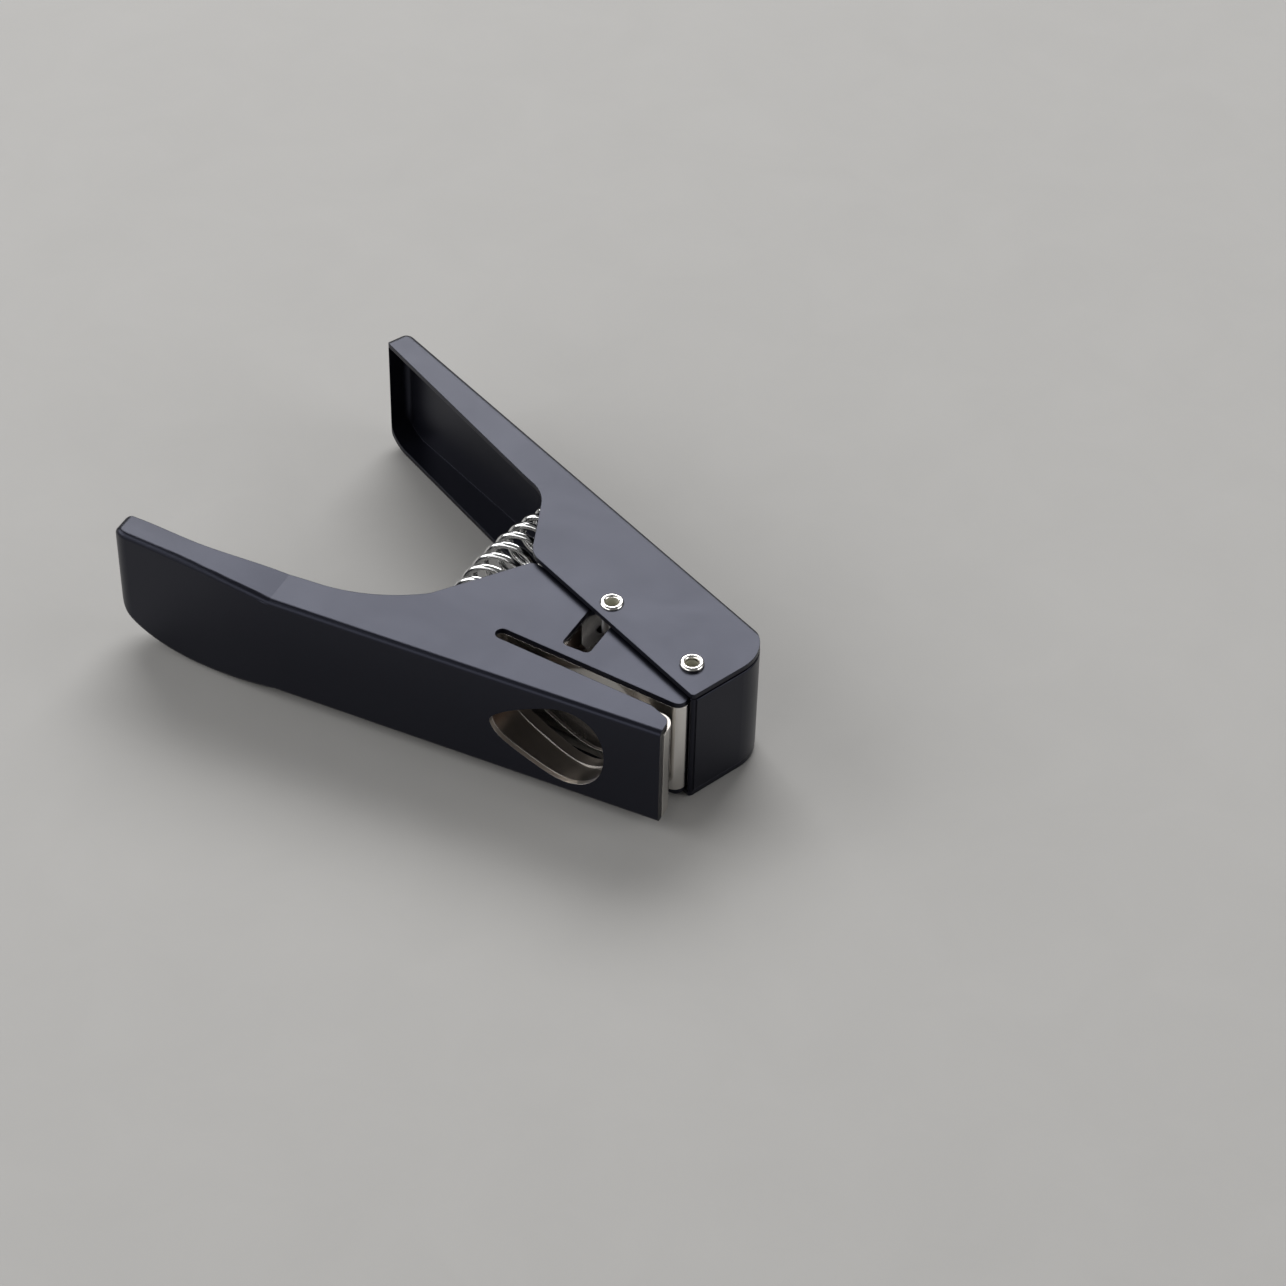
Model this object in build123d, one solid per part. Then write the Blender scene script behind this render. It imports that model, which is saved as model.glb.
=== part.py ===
from build123d import *
import math
import os

# Guitar pick punch, lying on its side. All lengths in mm.
# The origin is on the pivot's axis, in the plane that the lower rivet heads stand on.
# X runs along the die side handle toward the jaw, Y from that handle to the lever, Z up.

# Sheet metal
sheet = 1.4
side_gap = 0.5
body_bend = 1.5
lever_bend = 1.8
overrun = 6.0
quarter_turn = 90.0
half_turn = 180.0

# The pick, and the room above and below it inside the die side handle
pick_length = 30.7
pick_width = 23.2
pick_margin = 2.55

# A face steeper than the first share is a wall, and the others say which way a wall looks
steep_share = 0.3
wall_share = 0.2
end_wall_share = 0.9

# Heights of the stack
low_head = 0.6
lever_low = low_head
body_low = lever_low + sheet + side_gap
body_high = body_low + sheet + pick_margin + pick_width + pick_margin + sheet
lever_high = body_high + side_gap + sheet
middle = (body_low + body_high) / 2
block_low = body_low + sheet
block_high = body_high - sheet

# Die side handle, seen from above: distances from the pivot
body_web = 24.0
body_front = 2.45
body_end = 154.8
toe_start = 103.0
toe_length = 22.0
toe_angle = 5.5
end_edge = 12.9
waist_back = 132.0
waist_edge = 14.6
grip_back = 99.5
grip_edge = 12.5
rise_back = 71.2
rise_edge = 3.1
wing_back = 53.2
wing_top = 19.1
wing_front = 33.5
wing_low = 14.0
ear_radius = 7.4
ear_back = 25.0
ear_side_turn = 100.0
nose_front = 3.4
nose_edge = 10.0
tip_front = 3.2
tip_edge = 16.2
end_round = 5.5
end_sweep = 50.0
edge_corner = 2.4
wing_corner = 2.5
rise_corner = 7.0
nose_corner = 2.2
mouth_back = 3.57
mouth_edge = 18.74
mouth_bend = 7.0
mouth_corner = 2.4

# Die side handle, seen from the web's side
crease_back = 106.6
flare_back = 140.0
flare_up = 2.4
flare_down = 2.1
heel_length = 25.3
heel_height = 12.0
side_corner = 2.4

# Feed slot and the notch for the drive pin
slot_angle = 6.8
slot_offset = 14.47
slot_width = 3.7
slot_back = 50.2
notch_width = 7.8
notch_clearance = 0.77
notch_low = 5.7
notch_corner = 1.5
notch_turn = 3.4

# Lever, in its own frame: its web lies along X when the handles are parallel
rest_angle = 27.2
lever_web = 21.3
lever_end = 152.9
lever_end_edge = 13.7
lever_edge = 10.0
lever_edge_back = 82.0
shoulder_back = 75.0
shoulder_edge = 10.0
step_back = 57.4
lever_inner = 6.9
front_lean = 3.0
front_reach = 9.1
panel_step = 0.35
panel_gap = 0.3
panel_rim = 0.4
panel_low_edge = 5.73
panel_corner = 12.3
break_back = 6.0
tongue_corner = 1.0
shoulder_corner = 12.0
step_corner = 7.0
lever_end_corner = 3.2
lever_edge_corner = 2.4
lever_heel_length = 9.0
lever_heel_height = 7.4

# Die set
block_back = 54.5
block_reveal = 0.3
die_proud = 0.6
die_corner = 3.8
guide_depth = 14.0
nose_radius = 3.1
nose_reach = 0.05
stop_lip = 1.0
guide_step = 9.0
pick_shift = 27.05
land = 3.0
die_clearance = 0.05
die_relief = 0.4
window_relief = 0.4
guide_clearance = 0.06

# Outline of a pick, as shares of its length from the tip and of its half width
tip_shares = (0.06, 0.27)
flank_shares = (0.21, 0.545)
side_shares = (0.43, 0.83)
belly_shares = (0.70, 1.0)
heel_shares = (0.90, 0.755)

# Punch and drive
punch_rest = 0.4
punch_length = 27.6
punch_shear = 1.2
drive_radius = 30.03
drive_angle = 156.65
drive_slot_rise = 0.1
drive_slot_side = 1.4

# Tubular rivets
rivet_bore = 3.4
rivet_shank = 4.2
rivet_head = 6.2
low_head_diameter = 7.0
pivot_proud = 1.1
drive_proud = 0.7
running = 0.05
sleeve_outer = 8.0
drive_sleeve_outer = 5.0
washer_outer = 9.0
drive_washer_outer = 6.4

# Screws and dowels of the die set, measured back along the slot from the pivot
screw_back = 52.4
screw_margin = 6.15
screw_shank = 3.0
screw_head = 5.0
screw_head_height = 3.0
screw_socket = 2.5
screw_socket_depth = 1.6
screw_clearance = 0.1
screw_bite = 5.5
dowel_diameter = 2.0
dowel_margin = 2.15
dowel_bite = 4.0

# Return spring
spring_back = 64.5
spring_lean = 5.3
spring_bow = 5.8
spring_foot_bend = 40.0
spring_seat_bend = 13.0
spring_wire = 1.9
spring_middle_radius = 7.4
spring_end_radius = 3.1
spring_half_turns = 29
spring_end_share = 0.036
spring_end_power = 8
spring_start_turn = 95.5
spring_seat_gap = 0.25
post_base = 4.6
post_base_height = 0.6
post_diameter = 3.2
post_height = 4.0


def flat(points):
    """Face inside a closed run of straight lines."""
    return make_face(Polyline(*points, close=True))


def round_corner(face, point, radius):
    """The face with the corner nearest to a point rounded."""
    corner = face.vertices().sort_by_distance((point[0], point[1], 0))[0]
    return fillet(corner, radius)


def pillar(radius, low, high, x=0, y=0):
    """Upright round bar."""
    return Pos(x, y, low) * extrude(Circle(radius), high - low)


def ring(outer, inner, low, high, x=0, y=0):
    """Upright tube."""
    return pillar(outer, low, high, x, y) - pillar(inner, low - overrun, high + overrun, x, y)


def slab(face, low, high):
    """A plan face raised between two heights."""
    return Pos(0, 0, low) * extrude(face, high - low)


# The slot's frame: X along the feed slot toward the jaw, Y away from the web
slot_frame = Pos(0, -slot_offset, 0) * Rot(0, 0, -slot_angle)


def slot_plan(width, back):
    """Long slot, open at the jaw, with a round blind end."""
    radius = width / 2
    run = back + body_front + overrun + overrun
    bar = Pos(-back + radius + run / 2, 0) * Rectangle(run, width)
    return slot_frame * (bar + Pos(-back + radius, 0) * Circle(radius))


def notch_plan():
    """Notch that the drive pin moves in, open toward the lever."""
    depth = notch_low + lever_web + overrun
    shape = Rectangle(notch_width, depth)
    shape = fillet(shape.vertices().group_by(Axis.Y)[0], notch_corner)
    back = drive_radius + drive_sleeve_outer / 2 + notch_clearance - notch_width / 2
    place = Pos(-back, -notch_low, 0) * Rot(0, 0, -notch_turn)
    return place * Pos(0, depth / 2, 0) * shape


def web_line(inset, front):
    """Outer line of the die side handle's web and its round end, moved inward by an inset."""
    line_y = -body_web + inset
    turn = math.radians(toe_angle)
    straight = Line((front, line_y), (-toe_start, line_y))
    bend = JernArc((-toe_start, line_y), (-1, 0), toe_length / math.sin(turn) - inset, -toe_angle)
    heading = bend % 1
    start = bend @ 1
    centre = end_round * math.sin(turn + math.radians(end_sweep)) - body_end
    radius = end_round - inset
    end = start + heading * ((centre - radius * math.sin(turn) - start.X) / heading.X)
    last_turn = math.asin((centre + body_end - inset) / radius)
    rounding = JernArc(end, heading, radius, math.degrees(turn - last_turn))
    return straight, bend, Line(start, end), rounding


def body_outline():
    """Die side handle seen from above, before its slot and notch are cut."""
    straight, bend, toe, rounding = web_line(0, body_front)
    corner = rounding @ 1
    jaw = straight @ 0
    end_point = (-body_end, -end_edge)
    rise_point = (-rise_back, -rise_edge)
    ear_side = (
        ear_radius * math.sin(math.radians(ear_side_turn)),
        ear_radius * math.cos(math.radians(ear_side_turn)),
    )
    ear_mid_turn = math.radians(ear_side_turn / 2)
    ear_mid = (ear_radius * math.sin(ear_mid_turn), ear_radius * math.cos(ear_mid_turn))
    wing = Polyline(
        rise_point,
        (-wing_back, wing_top),
        (-wing_front, wing_low),
        (-ear_back, ear_radius),
        (0, ear_radius),
    )
    waist = Spline(
        [end_point, (-waist_back, -waist_edge), (-grip_back, -grip_edge)],
        tangents=((1, 0), (1, 0)),
    )
    face = make_face(
        [
            straight,
            bend,
            toe,
            rounding,
            Line(corner, end_point),
            waist,
            TangentArc((-grip_back, -grip_edge), rise_point, tangent=(1, 0)),
            wing,
            ThreePointArc((0, ear_radius), ear_mid, ear_side),
            Polyline(
                ear_side,
                (nose_front, -nose_edge),
                (tip_front, -tip_edge),
                (body_front, -tip_edge),
                jaw,
            ),
        ]
    )
    face = round_corner(face, end_point, edge_corner)
    face = round_corner(face, rise_point, rise_corner)
    return round_corner(face, (-wing_back, wing_top), wing_corner)


def body_cuts(outline):
    """What the slot, the notch and the rounded mouth take away from the outline."""
    face = outline - slot_plan(slot_width, slot_back) - notch_plan()
    slope = math.tan(math.radians(slot_angle))
    far_edge = -slot_offset + slot_width / 2
    near_edge = -slot_offset - slot_width / 2
    lead_start = (-mouth_back, near_edge + slope * mouth_back)
    lead_end = (body_front, -mouth_edge)
    reach = body_front + overrun
    beyond = [(reach, -mouth_edge), (reach, -slot_offset), (-mouth_back, -slot_offset)]
    lead = flat([lead_start, lead_end, *beyond])
    face = round_corner(face - lead, (tip_front, far_edge - slope * tip_front), nose_corner)
    face = round_corner(face, lead_start, mouth_bend)
    face = round_corner(face, lead_end, mouth_corner)
    return outline - face


def body_side(front, inset):
    """Die side handle seen from the web's side, with X to the right and Z up, moved inward by an inset."""
    heel = body_end - heel_length
    back = body_end - inset
    low = body_low + inset
    high = body_high - inset
    flared_low = low - flare_down
    flared_high = high + flare_up
    rise = heel_height - inset
    face = make_face(
        [
            Line((front, low), (-crease_back, low)),
            TangentArc((-heel, flared_low), (-crease_back, low), tangent=(1, 0)),
            EllipticalCenterArc(
                (-heel, flared_low + rise), heel_length - inset, rise, half_turn, arc_size=quarter_turn
            ),
            Line((-back, flared_low + rise), (-back, flared_high)),
            Line((-back, flared_high), (-flare_back, flared_high)),
            TangentArc((-flare_back, flared_high), (-crease_back, high), tangent=(1, 0)),
            Line((-crease_back, high), (front, high)),
            Line((front, high), (front, low)),
        ]
    )
    return round_corner(face, (-back, flared_high), side_corner - inset)


def pick_outline(grow):
    """Outline of a pick about its middle, tip toward -X, with a clearance all round."""
    half_length = pick_length / 2 + grow
    half_width = pick_width / 2 + grow
    upper = []
    for along_share, width_share in (tip_shares, flank_shares, side_shares, belly_shares, heel_shares):
        upper.append((half_length * (along_share + along_share - 1), width_share * half_width))
    lower = [(x, -y) for x, y in reversed(upper)]
    return make_face(Spline([(-half_length, 0), *upper, (half_length, 0), *lower], periodic=True))


def pick_prism(grow, start, end):
    """Pick shaped bar square to the slot, between two distances from the slot's middle."""
    plane = Plane(origin=(-pick_shift, start, middle), x_dir=(1, 0, 0), z_dir=(0, 1, 0))
    return slot_frame * extrude(plane * pick_outline(grow), end - start)


def web_window():
    """Pick shaped window, cut square through the web where the punch's axis meets it."""
    angle = math.radians(slot_angle)
    drop = (body_web - slot_offset + pick_shift * math.sin(angle)) / math.cos(angle)
    centre = -pick_shift * math.cos(angle) - drop * math.sin(angle)
    plane = Plane(origin=(centre, -body_web - overrun, middle), x_dir=(1, 0, 0), z_dir=(0, 1, 0))
    return extrude(plane * pick_outline(window_relief), overrun + sheet + overrun)


def bend_edges(solid, is_wall):
    """Edges where a wall of a channel meets its flanges."""
    found = []
    for edge in solid.edges():
        spot = edge.position_at(0.5)
        sides = [face for face in solid.faces() if any(edge.is_same(side) for side in face.edges())]
        normals = [face.normal_at(spot) for face in sides]
        walls = [normal for normal in normals if abs(normal.Z) < steep_share and is_wall(normal)]
        flanges = [normal for normal in normals if abs(normal.Z) >= steep_share]
        if len(walls) == 1 and len(flanges) == 1:
            found.append(edge)
    return found


def build_body_shell():
    """Pressed channel of the die side handle."""
    tall = lever_high + overrun
    wide = body_web + lever_web + overrun
    outline = body_outline()
    outer = extrude(Plane.XZ * body_side(ear_radius + overrun, 0), wide, both=True)
    outer = (outer & slab(outline, -overrun, tall)).solids()[0]
    bends = bend_edges(outer, lambda normal: normal.Y < -wall_share or normal.X < -end_wall_share)
    outer = outer.fillet(body_bend, bends) - slab(body_cuts(outline), -overrun, tall)
    straight, bend, toe, rounding = web_line(sheet, ear_radius + overrun)
    corner = rounding @ 1
    jaw = straight @ 0
    top = lever_web + overrun
    hollow_plan = make_face(
        [straight, bend, toe, rounding, Polyline(corner, (corner.X, top), (jaw.X, top), jaw)]
    )
    hollow = extrude(Plane.XZ * body_side(ear_radius + overrun, sheet), wide, both=True)
    hollow = hollow & slab(hollow_plan, -overrun, tall)
    shell = outer - hollow - web_window()
    return shell - pillar(rivet_shank / 2, -overrun, tall)


def lever_front(y, inset):
    """X of the lever's front at a Y, moved inward along its normal."""
    lean = math.radians(front_lean)
    return front_reach - inset / math.cos(lean) - math.tan(lean) * y


def lever_wrap_plan(inset, low_edge):
    """Region behind the lever's web, front panel and end wall, moved inward by an inset."""
    corner = (lever_front(lever_web - inset, inset), lever_web - inset)
    back = -lever_end + inset
    low_corner = (lever_front(-low_edge, inset), -low_edge)
    face = flat([corner, (back, lever_web - inset), (back, -low_edge), low_corner])
    face = round_corner(face, (back, lever_web - inset), lever_end_corner - inset)
    return round_corner(face, corner, panel_corner - inset)


def lever_nose_box():
    """Space in front of the break between the lever's plain and wrapped stretches."""
    reach = front_reach + overrun
    tall = lever_high + overrun
    wide = lever_web + overrun
    return Pos((reach - break_back) / 2, 0, 0) * Box(reach + break_back, wide + wide, tall + tall)


def lever_flange_corner():
    """Front corner of the lever's flanges before it is rounded."""
    return lever_front(lever_web, panel_step), lever_web


def lever_plan():
    """Lever's flanges seen from above, in the lever's own frame."""
    tongue = (lever_front(-lever_inner, panel_step), -lever_inner)
    shoulder = (-shoulder_back, shoulder_edge)
    step = (-step_back, -lever_inner)
    end_point = (-lever_end, lever_end_edge)
    face = flat(
        [
            lever_flange_corner(),
            (-lever_end, lever_web),
            end_point,
            (-lever_edge_back, lever_edge),
            shoulder,
            step,
            tongue,
        ]
    )
    face = round_corner(face, (-lever_end, lever_web), lever_end_corner)
    face = round_corner(face, end_point, lever_edge_corner)
    face = round_corner(face, shoulder, shoulder_corner)
    face = round_corner(face, step, step_corner)
    return round_corner(face, tongue, tongue_corner)


def lever_side(inset):
    """Lever seen from its web's side, with X to the right and Z up, moved inward by an inset."""
    low = lever_low + inset
    high = lever_high - inset
    back = -lever_end + inset
    heel_x = -lever_end + lever_heel_length
    heel_z = lever_low + lever_heel_height
    front = front_reach + overrun
    face = make_face(
        [
            Line((front, low), (heel_x, low)),
            EllipticalCenterArc(
                (heel_x, heel_z), heel_x - back, heel_z - low, half_turn, arc_size=quarter_turn
            ),
            Line((back, heel_z), (back, high)),
            Line((back, high), (front, high)),
            Line((front, high), (front, low)),
        ]
    )
    return round_corner(face, (back, high), side_corner - inset)


def place_lever(shape):
    """From the lever's own frame to its place at rest."""
    return Rot(0, 0, -rest_angle) * shape


def drive_place():
    """Centre of the drive pin at rest."""
    angle = math.radians(drive_angle)
    return drive_radius * math.cos(angle), drive_radius * math.sin(angle)


def build_lever_shell():
    """Pressed channel of the lever, its web wrapped round the front corner."""
    wide = lever_web + overrun
    tall = lever_high + overrun
    plan = lever_plan()
    outer = extrude(Plane.XZ * lever_side(0), wide, both=True) & slab(plan, -overrun, tall)
    outer = outer.solids()[0]
    bends = bend_edges(outer, lambda normal: normal.Y > wall_share or normal.X < -end_wall_share)
    outer = outer.fillet(lever_bend, bends)
    trimmed = round_corner(plan, lever_flange_corner(), panel_corner - panel_step)
    outer = outer - slab(plan - trimmed, -overrun, tall)
    panel_inset = sheet + panel_gap
    wrap = slab(lever_wrap_plan(0, panel_low_edge), lever_low + panel_inset, lever_high - panel_inset)
    wrap = wrap.solids()[0]
    rims = bend_edges(wrap, lambda normal: normal.Y > wall_share or normal.X > wall_share)
    nose_box = lever_nose_box()
    wrap = wrap.fillet(panel_rim, rims) & nose_box
    hollow = extrude(Plane.XZ * lever_side(sheet), wide, both=True)
    hollow = hollow & slab(lever_wrap_plan(sheet, lever_inner + overrun), -overrun, tall)
    plan_box = Rectangle(lever_end + lever_end, wide + wide)
    for low in (lever_low + sheet, lever_high - panel_inset):
        outer = outer - (nose_box & slab(plan_box, low, low + panel_gap))
    shell = place_lever(outer + wrap - hollow)
    shell = shell - pillar(rivet_shank / 2 + running, -overrun, tall)
    return shell - pillar(rivet_shank / 2, -overrun, tall, *drive_place())


def block_slot_half():
    """Half of the gap between the two blocks of the die set."""
    return slot_width / 2 - block_reveal


def guide_top():
    """Far face of the guide block, from the slot's middle."""
    return block_slot_half() + guide_depth


def block_spread(margin):
    """Height from the die set's middle to a fixing that keeps a margin to the blocks' ends."""
    return (block_high - block_low) / 2 - margin


def across_bar(radius, top, bottom, height):
    """Round bar square to the slot at the screws' distance, above or below the middle."""
    plane = Plane(origin=(-screw_back, top, middle + height), x_dir=(1, 0, 0), z_dir=(0, -1, 0))
    return slot_frame * extrude(plane * Circle(radius), top - bottom)


def screw(height):
    """One socket head screw."""
    seat = guide_top() - screw_head_height
    head = across_bar(screw_head / 2, guide_top(), seat, height)
    shank = across_bar(screw_shank / 2, seat, -block_slot_half() - screw_bite, height)
    plane = Plane(origin=(-screw_back, guide_top(), middle + height), x_dir=(1, 0, 0), z_dir=(0, -1, 0))
    key = RegularPolygon(screw_socket / 2, 6, major_radius=False)
    return head + shank - slot_frame * extrude(plane * key, screw_socket_depth)


def build_block_screws():
    """The screws that clamp the die set together."""
    spread = block_spread(screw_margin)
    return Compound([screw(side * spread) for side in (-1, 1)])


def build_block_dowels():
    """The dowels that keep the die set in line."""
    reach = block_slot_half() + dowel_bite
    spread = block_spread(dowel_margin)
    return Compound([across_bar(dowel_diameter / 2, reach, -reach, side * spread) for side in (-1, 1)])


def fixing_holes():
    """Holes of the screws and dowels through guide, stop and die."""
    half = block_slot_half()
    reach = half + dowel_bite
    holes = []
    for side in (-1, 1):
        height = side * block_spread(screw_margin)
        seat = guide_top() - screw_head_height
        holes.append(across_bar(screw_head / 2 + screw_clearance, guide_top() + overrun, seat, height))
        holes.append(across_bar(screw_shank / 2 + screw_clearance, seat, -half, height))
        holes.append(across_bar(screw_shank / 2, -half, -half - screw_bite, height))
        holes.append(across_bar(dowel_diameter / 2, reach, -reach, side * block_spread(dowel_margin)))
    return holes


def build_die_block():
    """Lower half of the die set, a wedge between the web and the slot."""
    half = block_slot_half()
    reach = block_back + overrun
    run = reach + block_back
    below = slot_frame * Pos((reach - block_back) / 2, -half - reach / 2) * Rectangle(run, reach)
    depth = body_web + lever_web
    die_front = body_front + die_proud
    front = Pos(die_front - reach, -body_web + sheet + depth / 2) * Rectangle(reach + reach, depth)
    slope = math.tan(math.radians(slot_angle))
    mouth = (die_front, -slot_offset - half - slope * die_front)
    face = round_corner(below & front, mouth, die_corner)
    block = slab(face, block_low, block_high) - pick_prism(die_clearance, -half - land, half)
    block = block - pick_prism(die_relief, -body_web, -half - land)
    return block - fixing_holes()


def build_guide_block():
    """Upper half of the die set, a half-round nose and a guide for the punch."""
    half = block_slot_half()
    nose_run = block_back + nose_reach
    nose = Pos(nose_reach, half + nose_radius) * Circle(nose_radius)
    nose_depth = nose_radius + nose_radius
    bar = Pos(nose_reach - nose_run / 2, half + nose_radius) * Rectangle(nose_run, nose_depth)
    tall_run = block_back - guide_step
    tall = Pos(-guide_step - tall_run / 2, half + guide_depth / 2) * Rectangle(tall_run, guide_depth)
    face = slot_frame * (bar + nose + tall) - notch_plan()
    block = slab(face, block_low, block_high)
    block = block - pick_prism(guide_clearance, -half, guide_top() + overrun)
    return block - fixing_holes()


def build_slot_stop():
    """Spacer that closes the slot, with a round end."""
    half = block_slot_half()
    run = block_back - slot_back + stop_lip
    bar = Pos(-block_back + run / 2, 0) * Rectangle(run, half + half)
    face = slot_frame * (bar - Pos(-slot_back + half, 0) * Circle(half))
    return slab(face, block_low, block_high) - fixing_holes()


def build_punch():
    """Pick shaped punch with a hollow ground face and a cross slot for the drive pin."""
    face = block_slot_half() + punch_rest
    bar = pick_prism(0, face, face + punch_length)
    half_length = pick_length / 2
    grind = (half_length * half_length + punch_shear * punch_shear) / (punch_shear + punch_shear)
    hollow = Pos(-pick_shift, face + punch_shear - grind) * Circle(grind)
    angle = math.radians(slot_angle)
    pin_x, pin_y = drive_place()
    pin_y = pin_y + slot_offset
    along = pin_x * math.cos(angle) - pin_y * math.sin(angle)
    across = pin_x * math.sin(angle) + pin_y * math.cos(angle)
    height = drive_sleeve_outer + drive_slot_rise + drive_slot_rise
    cross = Pos(along - drive_slot_side / 2, across) * SlotOverall(height + drive_slot_side, height)
    bar = bar - slab(slot_frame * hollow, block_low, block_high)
    return bar - slab(slot_frame * cross, block_low, block_high)


def build_rivet(proud, x, y):
    """Tubular rivet with a flat lower head and a rolled upper one."""
    roll = (rivet_head - rivet_bore) / 4
    middle_radius = (rivet_head + rivet_bore) / 4
    top = lever_high + proud
    body = pillar(rivet_shank / 2, 0, top - roll, x, y) + pillar(low_head_diameter / 2, 0, low_head, x, y)
    rolled = revolve(Plane.XZ * Pos(middle_radius, top - roll) * Circle(roll), Axis.Z)
    above = pillar(rivet_head, lever_high, top + overrun, x, y)
    body = body + (Pos(x, y, 0) * rolled & above)
    return body - pillar(rivet_bore / 2, low_head, top + overrun, x, y)


def build_pivot_sleeve():
    """Spacer tube between the flanges of the die side handle."""
    return ring(sleeve_outer / 2, rivet_shank / 2, block_low, block_high)


def build_pivot_washer(low):
    """Washer in a side gap, on the pivot."""
    return ring(washer_outer / 2, rivet_shank / 2, low, low + side_gap)


def drive_washer_thickness():
    """Thickness of a drive washer, thinner than the side gap it slides in."""
    return side_gap - running


def build_drive_washer(low):
    """Washer beside a lever flange, on the drive rivet."""
    x, y = drive_place()
    return ring(drive_washer_outer / 2, rivet_shank / 2, low, low + drive_washer_thickness(), x, y)


def build_drive_sleeve():
    """Sleeve on the drive rivet that pushes the punch."""
    x, y = drive_place()
    thickness = drive_washer_thickness()
    low = lever_low + sheet + thickness
    return ring(drive_sleeve_outer / 2, rivet_shank / 2, low, lever_high - sheet - thickness, x, y)


def post(x, y, turn):
    """Locating post of the spring, standing on a web and turned from +Y."""
    plane = Plane(origin=(0, 0, middle), x_dir=(1, 0, 0), z_dir=(0, 1, 0))
    base = extrude(plane * Circle(post_base / 2), post_base_height)
    stem = extrude(plane * Circle(post_diameter / 2), post_height)
    return Pos(x, y, 0) * Rot(0, 0, turn) * (base + stem)


def web_heading(turn):
    """Heading in plan, turned from +Y toward +X."""
    return Vector(math.sin(turn), math.cos(turn), 0)


def arc_step(first_turn, last_turn):
    """Way gone along a bend of unit radius between two headings."""
    across = math.cos(first_turn) - math.cos(last_turn)
    return Vector(across, math.sin(last_turn) - math.sin(first_turn), 0)


def spring_axis():
    """Bends of the spring's axis, each as start, first and last heading and signed radius, and its end."""
    foot = Vector(-spring_back, -body_web + sheet, middle)
    turns = [0, -math.radians(spring_lean), math.radians(spring_bow), math.radians(rest_angle)]
    foot_step = arc_step(turns[0], turns[1]) * -spring_foot_bend
    seat_step = arc_step(turns[2], turns[3]) * spring_seat_bend
    web_normal = web_heading(turns[3])
    reach = lever_web - sheet - Vector(foot.X, foot.Y, 0).dot(web_normal)
    spent = (foot_step + seat_step).dot(web_normal)
    bow_step = arc_step(turns[1], turns[2])
    bow_radius = (reach - spent) / bow_step.dot(web_normal)
    bends = []
    for index, radius in enumerate((-spring_foot_bend, bow_radius, spring_seat_bend)):
        bends.append((foot, turns[index], turns[index + 1], radius))
        foot = foot + arc_step(turns[index], turns[index + 1]) * radius
    return bends, foot


def build_body_post():
    """Post on the die side handle's web."""
    return post(-spring_back, -body_web + sheet, 0)


def build_lever_post():
    """Post on the lever's web."""
    seat = spring_axis()[1]
    return post(seat.X, seat.Y, half_turn - rest_angle)


def spring_frame(along):
    """Point of the spring's axis at a length along it, and the way across it in plan."""
    for start, first_turn, last_turn, radius in spring_axis()[0]:
        length = radius * (last_turn - first_turn)
        if along <= length:
            turn = first_turn + along / radius
            return start + arc_step(first_turn, turn) * radius, web_heading(turn + math.pi / 2)
        along = along - length


def spring_point(share):
    """Wire centre at a share of the turns, from the body end at 0 to the lever end at 1."""
    inset = spring_wire / 2 + spring_seat_gap
    length = sum(bend[3] * (bend[2] - bend[1]) for bend in spring_axis()[0])
    way = share + share - 1
    spread = way + spring_end_share * way * (1 - way**spring_end_power)
    point, side = spring_frame(inset + (length - inset - inset) * (1 + spread) / 2)
    radius = spring_end_radius + (spring_middle_radius - spring_end_radius) * (1 - way * way)
    turn = math.radians(spring_start_turn) - math.pi * spring_half_turns * share
    return point + side * (radius * math.cos(turn)) + Vector(0, 0, radius * math.sin(turn))


def spring_heading(share):
    """Heading of the wire at a share of the turns."""
    step = 1 / (spring_half_turns * spring_half_turns)
    before = max(share - step, 0)
    after = min(share + step, 1)
    return (spring_point(after) - spring_point(before)).normalized()


def arc_middle(first, corner, last):
    """Middle of the arc that touches the lines from a corner at two points as far from it."""
    chord_middle = (first + last) / 2
    half_chord = (last - first).length / 2
    height = (corner - chord_middle).length
    angle = math.atan2(height, half_chord)
    radius = half_chord / math.sin(angle)
    return chord_middle + (corner - chord_middle).normalized() * (radius * (1 - math.cos(angle)))


def biarc(first, last, first_heading, last_heading):
    """Two arcs that join two points and have the given headings there."""
    chord = last - first
    heading_sum = first_heading + last_heading
    dot = chord.dot(heading_sum)
    flatness = (1 - first_heading.dot(last_heading)) * 2
    reach = (math.sqrt(dot * dot + flatness * chord.dot(chord)) - dot) / flatness
    first_corner = first + first_heading * reach
    last_corner = last - last_heading * reach
    meet = (first_corner + last_corner) / 2
    return [
        ThreePointArc(first, arc_middle(first, first_corner, meet), meet),
        ThreePointArc(meet, arc_middle(meet, last_corner, last), last),
    ]


def spring_path():
    """Path of the spring's wire, as arcs."""
    shares = [index / spring_half_turns for index in range(spring_half_turns + 1)]
    points = [spring_point(share) for share in shares]
    headings = [spring_heading(share) for share in shares]
    arcs = []
    for index in range(spring_half_turns):
        arcs.extend(biarc(points[index], points[index + 1], headings[index], headings[index + 1]))
    return Wire(arcs)


def spring_gap(path):
    """Least gap of the wire to itself, measured on points along it."""
    count = spring_half_turns * spring_half_turns
    points = [path.position_at(index / count) for index in range(count + 1)]
    least = spring_middle_radius
    for index, point in enumerate(points):
        for other in points[index + spring_half_turns:]:
            least = min(least, (point - other).length - spring_wire)
    return least


def build_spring():
    """Barrel spring between the handles."""
    path = spring_path()
    print("Least gap of the spring's wire to itself, in mm:", round(spring_gap(path), 2))
    profile = Plane(origin=path @ 0, z_dir=path % 0) * Circle(spring_wire / 2)
    return sweep(profile, path=path)


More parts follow.
